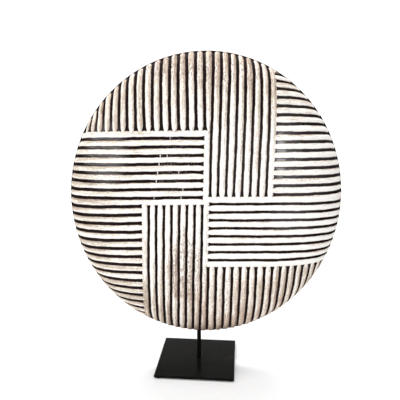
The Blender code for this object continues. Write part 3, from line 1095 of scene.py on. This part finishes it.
fleck_pattern = noise(stretch(grain_place, 210, 460, 90), 1.0, 2, 0.55)
fleck = marks(fleck_pattern, "flecked", gain=0.18, low=0.66, high=0.78)
colour = blend(calc("MULTIPLY", fleck, FLECK_STRENGTH), colour, FLECK_BROWN)
stain = marks(noise(place, 330, 3, 0.6), "reddened", gain=0.22, low=0.66, high=0.84)
colour = blend(calc("MULTIPLY", stain, STAIN_STRENGTH), colour, STAIN_RED)

# A hairline crack runs in a bow across some ribs above the middle: its bow's middle and radius, and
# where it fades out to the left, to the right and upwards.
CRACK_ACROSS = 0.0075
CRACK_UP = 0.190
CRACK_RADIUS = 0.0275
CRACK_HALF = 0.0005
CRACK_LEFT = (-0.017, -0.012)
CRACK_RIGHT = (0.010, 0.006)
CRACK_TOP = (MIDDLE_Z + 0.184, MIDDLE_Z + 0.178)
CRACK_STRENGTH = 0.6

flat_place = stretch(place, 1, 0, 1)
bow_middle = (MIDDLE_X + CRACK_ACROSS, 0.0, MIDDLE_Z + CRACK_UP)
bow_way = add("VectorMath", {0: flat_place, 1: bow_middle}, operation="DISTANCE").outputs["Value"]
off_bow = calc("ABSOLUTE", calc("SUBTRACT", bow_way, CRACK_RADIUS))
sides = add("SeparateXYZ", {0: place}).outputs
crack = between(off_bow, CRACK_HALF, CRACK_HALF / 3)
for side, ends in (("X", CRACK_LEFT), ("X", CRACK_RIGHT), ("Z", CRACK_TOP)):
    crack = calc("MULTIPLY", crack, between(sides[side], *ends))
colour = blend(calc("MULTIPLY", crack, CRACK_STRENGTH), colour, WOOD)

# Drips of chalk that bridge grooves of the left block: the groove's number, how far the drip lies
# out from the middle, and how full it is. Finer chalk dust lies about in the grooves near them.
DRIPS = (
    (7, 0.0635, 0.50), (5, 0.0690, 0.60), (5, 0.0811, 1.00), (4, 0.0834, 1.00),
    (3, 0.0491, 0.75), (3, 0.0862, 0.95), (2, 0.0889, 0.95), (1, 0.0419, 0.70),
    (0, 0.0454, 0.65), (0, 0.0933, 0.45),
)
DRIP_HALF_WIDTH = 0.0009
DRIP_HALF_HEIGHT = 0.0032
DRIP_FADE = (1.2, 0.7)
DUST_GREY = (0.300, 0.290, 0.275)
BROWN_CLOUDS = (0.40, 0.70)

left_block = FIELDS[2]
drip_scale = (1 / DRIP_HALF_WIDTH, 0, 1 / DRIP_HALF_HEIGHT)
drip_place = stretch(place, *drip_scale)
dripped = 0.0
for groove, run, strength in DRIPS:
    way = middle_way(left_block, groove, run)
    row = row_of(left_block, np.array([run]))
    over = plan_of(across_quarter(left_block), row, np.array([way]))[0]
    middle = ((MIDDLE_X - run) * drip_scale[0], 0.0, (MIDDLE_Z + float(over)) * drip_scale[2])
    away = add("VectorMath", {0: drip_place, 1: middle}, operation="DISTANCE").outputs["Value"]
    full = calc("MULTIPLY", between(away, *DRIP_FADE), strength)
    dripped = calc("MAXIMUM", dripped, full)
dusty = marks(noise(place, 620, 2, 0.5), "dusted", gain=0.12, low=0.72, high=0.80)
dark = blend(between(broad, *BROWN_CLOUDS), BLACK, BROWN_BLACK)
dark = blend(dusty, dark, DUST_GREY)
dark = blend(dripped, dark, CHALK)
colour = blend(white_share, WOOD, colour)
colour = blend(wood_share, dark, colour)
tree.links.new(colour, shader.inputs["Base Color"])

# The chalk is matt and the black satin, duller near the rim and shinier where hands polished it.
CHALK_ROUGH = (0.66, 0.86)
BLACK_ROUGH = (0.30, 0.44)
FULL_POLISH = 3.0
POLISHED_SHARE = 0.25
POLISH_SHINE = 0.65
DULL_BY_RIM = (6.0, 60.0)
SHINE = (0.02, 0.06)
GRAIN_DEPTH = 0.00025

matt = from_to(broad, *CHALK_ROUGH)
satin = from_to(mottle, *BLACK_ROUGH)
polish = {"Value": held_value("polished"), "From Max": FULL_POLISH, "To Min": 1.0, "To Max": POLISHED_SHARE}
calm = add("MapRange", polish).outputs["Result"]
satin = calc("MULTIPLY", satin, calm)
rough = add("Mix", {"Factor": wood_share, 2: satin, 3: matt}).outputs[0]
tree.links.new(rough, shader.inputs["Roughness"])
shine = from_to(between(held_value("rim_way"), *DULL_BY_RIM), *SHINE)
gloss = calc("MULTIPLY", held_value("polished"), POLISH_SHINE)
gloss = calc("MULTIPLY", gloss, calc("SUBTRACT", 1.0, wood_share))
tree.links.new(calc("ADD", shine, gloss), shader.inputs["Specular IOR Level"])
relief = calc("MULTIPLY", fine_streak, 0.6)
for pattern, share in ((streak, 0.5), (fine, 0.4), (white_share, 0.5)):
    relief = plus(relief, pattern, share)
bump(shader, relief, GRAIN_DEPTH, calm)
shield_mesh.materials.append(painted_wood)

# The back's finish. Bare wood with a long upright grain, stained dark, with dust on it in clouds.
STAIN_DARK = (0.035, 0.022, 0.014)
GRAIN_DARK = (0.020, 0.012, 0.008)
GRAIN_BROWN = (0.062, 0.037, 0.022)
WOOD_DUST = (0.060, 0.044, 0.031)
BACK_ROUGH = (0.5, 0.75)

stained, tree, shader = new_finish("dark stained wood", STAIN_DARK, 0.6, 0.35)
place = here()
long_grain = noise(stretch(place, 260, 200, 16), 1.0, 5, 0.6)
cloud = noise(place, 24, 4, 0.6)
colour = blend(between(long_grain, 0.3, 0.7), GRAIN_DARK, GRAIN_BROWN)
colour = blend(between(cloud, 0.45, 0.85), colour, WOOD_DUST)
tree.links.new(colour, shader.inputs["Base Color"])
tree.links.new(from_to(long_grain, *BACK_ROUGH), shader.inputs["Roughness"])
bump(shader, long_grain, 0.0003)
shield_mesh.materials.append(stained)
material_places = np.zeros(len(all_faces), dtype=np.int32)
material_places[len(triangles):len(triangles) + len(back_faces)] = 1
shield_mesh.polygons.foreach_set("material_index", material_places)

# The floor and the backdrop. One wide sheet of matt white paper, which lies under the stand and
# rises behind it in a wide bend, so that no edge of it shows.
SHEET_FRONT = -3.0
SHEET_BACK = 1.6
SHEET_BEND = 0.9
SHEET_TOP = 1.42
SHEET_HALF = 3.0
BEND_STEPS = 17
PAPER = (0.86, 0.86, 0.86)
PAPER_DULL = (0.85, 0.85, 0.85)
PAPER_WHITE = (0.88, 0.88, 0.88)

sheet_finish, tree, shader = new_finish("white paper sheet", PAPER, 0.9, 0.1)
tooth = noise(here(), 700, 3)
tree.links.new(blend(tooth, PAPER_DULL, PAPER_WHITE), shader.inputs["Base Color"])
bump(shader, tooth, 0.0001)
bend_turns = np.linspace(0, math.pi / 2, BEND_STEPS)
sheet_y = [SHEET_FRONT, *(SHEET_BACK + SHEET_BEND * np.sin(bend_turns)), SHEET_BACK + SHEET_BEND]
sheet_z = [0.0, *(SHEET_BEND - SHEET_BEND * np.cos(bend_turns)), SHEET_TOP]
sheet_form = bmesh.new()
rows = [
    [sheet_form.verts.new((side * SHEET_HALF, deep, tall)) for side in (-1, 1)]
    for deep, tall in zip(sheet_y, sheet_z)
]
for before, after in zip(rows, rows[1:]):
    sheet_form.faces.new((before[0], before[1], after[1], after[0]))
sheet_mesh = bpy.data.meshes.new("paper_sheet")
sheet_form.to_mesh(sheet_mesh)
sheet_form.free()
sheet_mesh.shade_smooth()
sheet_mesh.materials.append(sheet_finish)
put("paper_sheet", sheet_mesh)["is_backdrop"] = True

# The lights. Soft boxes stand to the left and right and hang above the shield and the backdrop, each
# given by its place, aim, width, height, power and colour. White light comes from all round.
WHITE = (1.0, 1.0, 1.0)
COOL_WHITE = (0.92, 0.92, 1.0)
SHIELD_MIDDLE = (0, 0, 0.33)
ROOM_LIGHT = 0.30


def soft_box(name, place, aim, width, height, power, colour=WHITE):
    light = bpy.data.lights.new(name, "AREA")
    light.shape = "RECTANGLE"
    light.size = width
    light.size_y = height
    light.energy = power
    light.color = colour
    lamp = put(name, light)
    lamp.location = place
    lamp.rotation_euler = (Vector(aim) - Vector(place)).to_track_quat("-Z", "Y").to_euler()


soft_box("left_box", (-1.0, -1.6, 0.75), SHIELD_MIDDLE, 0.8, 1.4, 11.5)
soft_box("far_left_box", (-2.4, -1.3, 0.70), SHIELD_MIDDLE, 0.5, 1.2, 14.5)
soft_box("right_box", (0.58, -1.65, 0.60), (0.1, 0, 0.40), 0.40, 1.1, 6.2, COOL_WHITE)
soft_box("top_box", (0.0, -0.45, 2.0), (0, -0.40, 0.0), 1.8, 0.9, 25)
soft_box("backdrop_box", (0.0, 0.9, 2.3), (0, 1.4, 0.0), 3.0, 0.8, 70)
world = bpy.data.worlds.new("white_room")
world.use_nodes = True
room = world.node_tree.nodes["Background"]
room.inputs["Color"].default_value = (*WHITE, 1.0)
room.inputs["Strength"].default_value = ROOM_LIGHT
bpy.context.scene.world = world

# The camera. A normal lens that looks a little down on the shield, from almost straight in front.
# The focal length is in pixels of the square picture, and the pitch, yaw and roll are in radians.
PHOTO_SIDE = 400
SENSOR_WIDTH = 36.0
FOCAL_PIXELS = 489.3
PITCH = 0.1985
YAW = -0.0019
ROLL = 0.0013
CAMERA_PLACE = Vector((-0.0132, -0.9020, 0.5098))

backward = Vector((math.sin(YAW) * math.cos(PITCH), -math.cos(YAW) * math.cos(PITCH), math.sin(PITCH)))
level_right = (-backward).cross(Vector((0, 0, 1))).normalized()
level_up = level_right.cross(-backward)
camera_right = level_right * math.cos(ROLL) + level_up * math.sin(ROLL)
camera_up = level_up * math.cos(ROLL) - level_right * math.sin(ROLL)
lens = bpy.data.cameras.new("camera")
lens.sensor_width = SENSOR_WIDTH
lens.lens = SENSOR_WIDTH * FOCAL_PIXELS / PHOTO_SIDE
lens.dof.use_dof = False
camera = put("camera", lens)
camera.matrix_world = (
    Matrix.Translation(CAMERA_PLACE)
    @ Matrix((camera_right, camera_up, backward)).transposed().to_4x4()
)
bpy.context.scene.camera = camera
bpy.context.scene.view_settings.view_transform = "Standard"
bpy.context.scene.view_settings.exposure = 0.0

low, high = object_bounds()
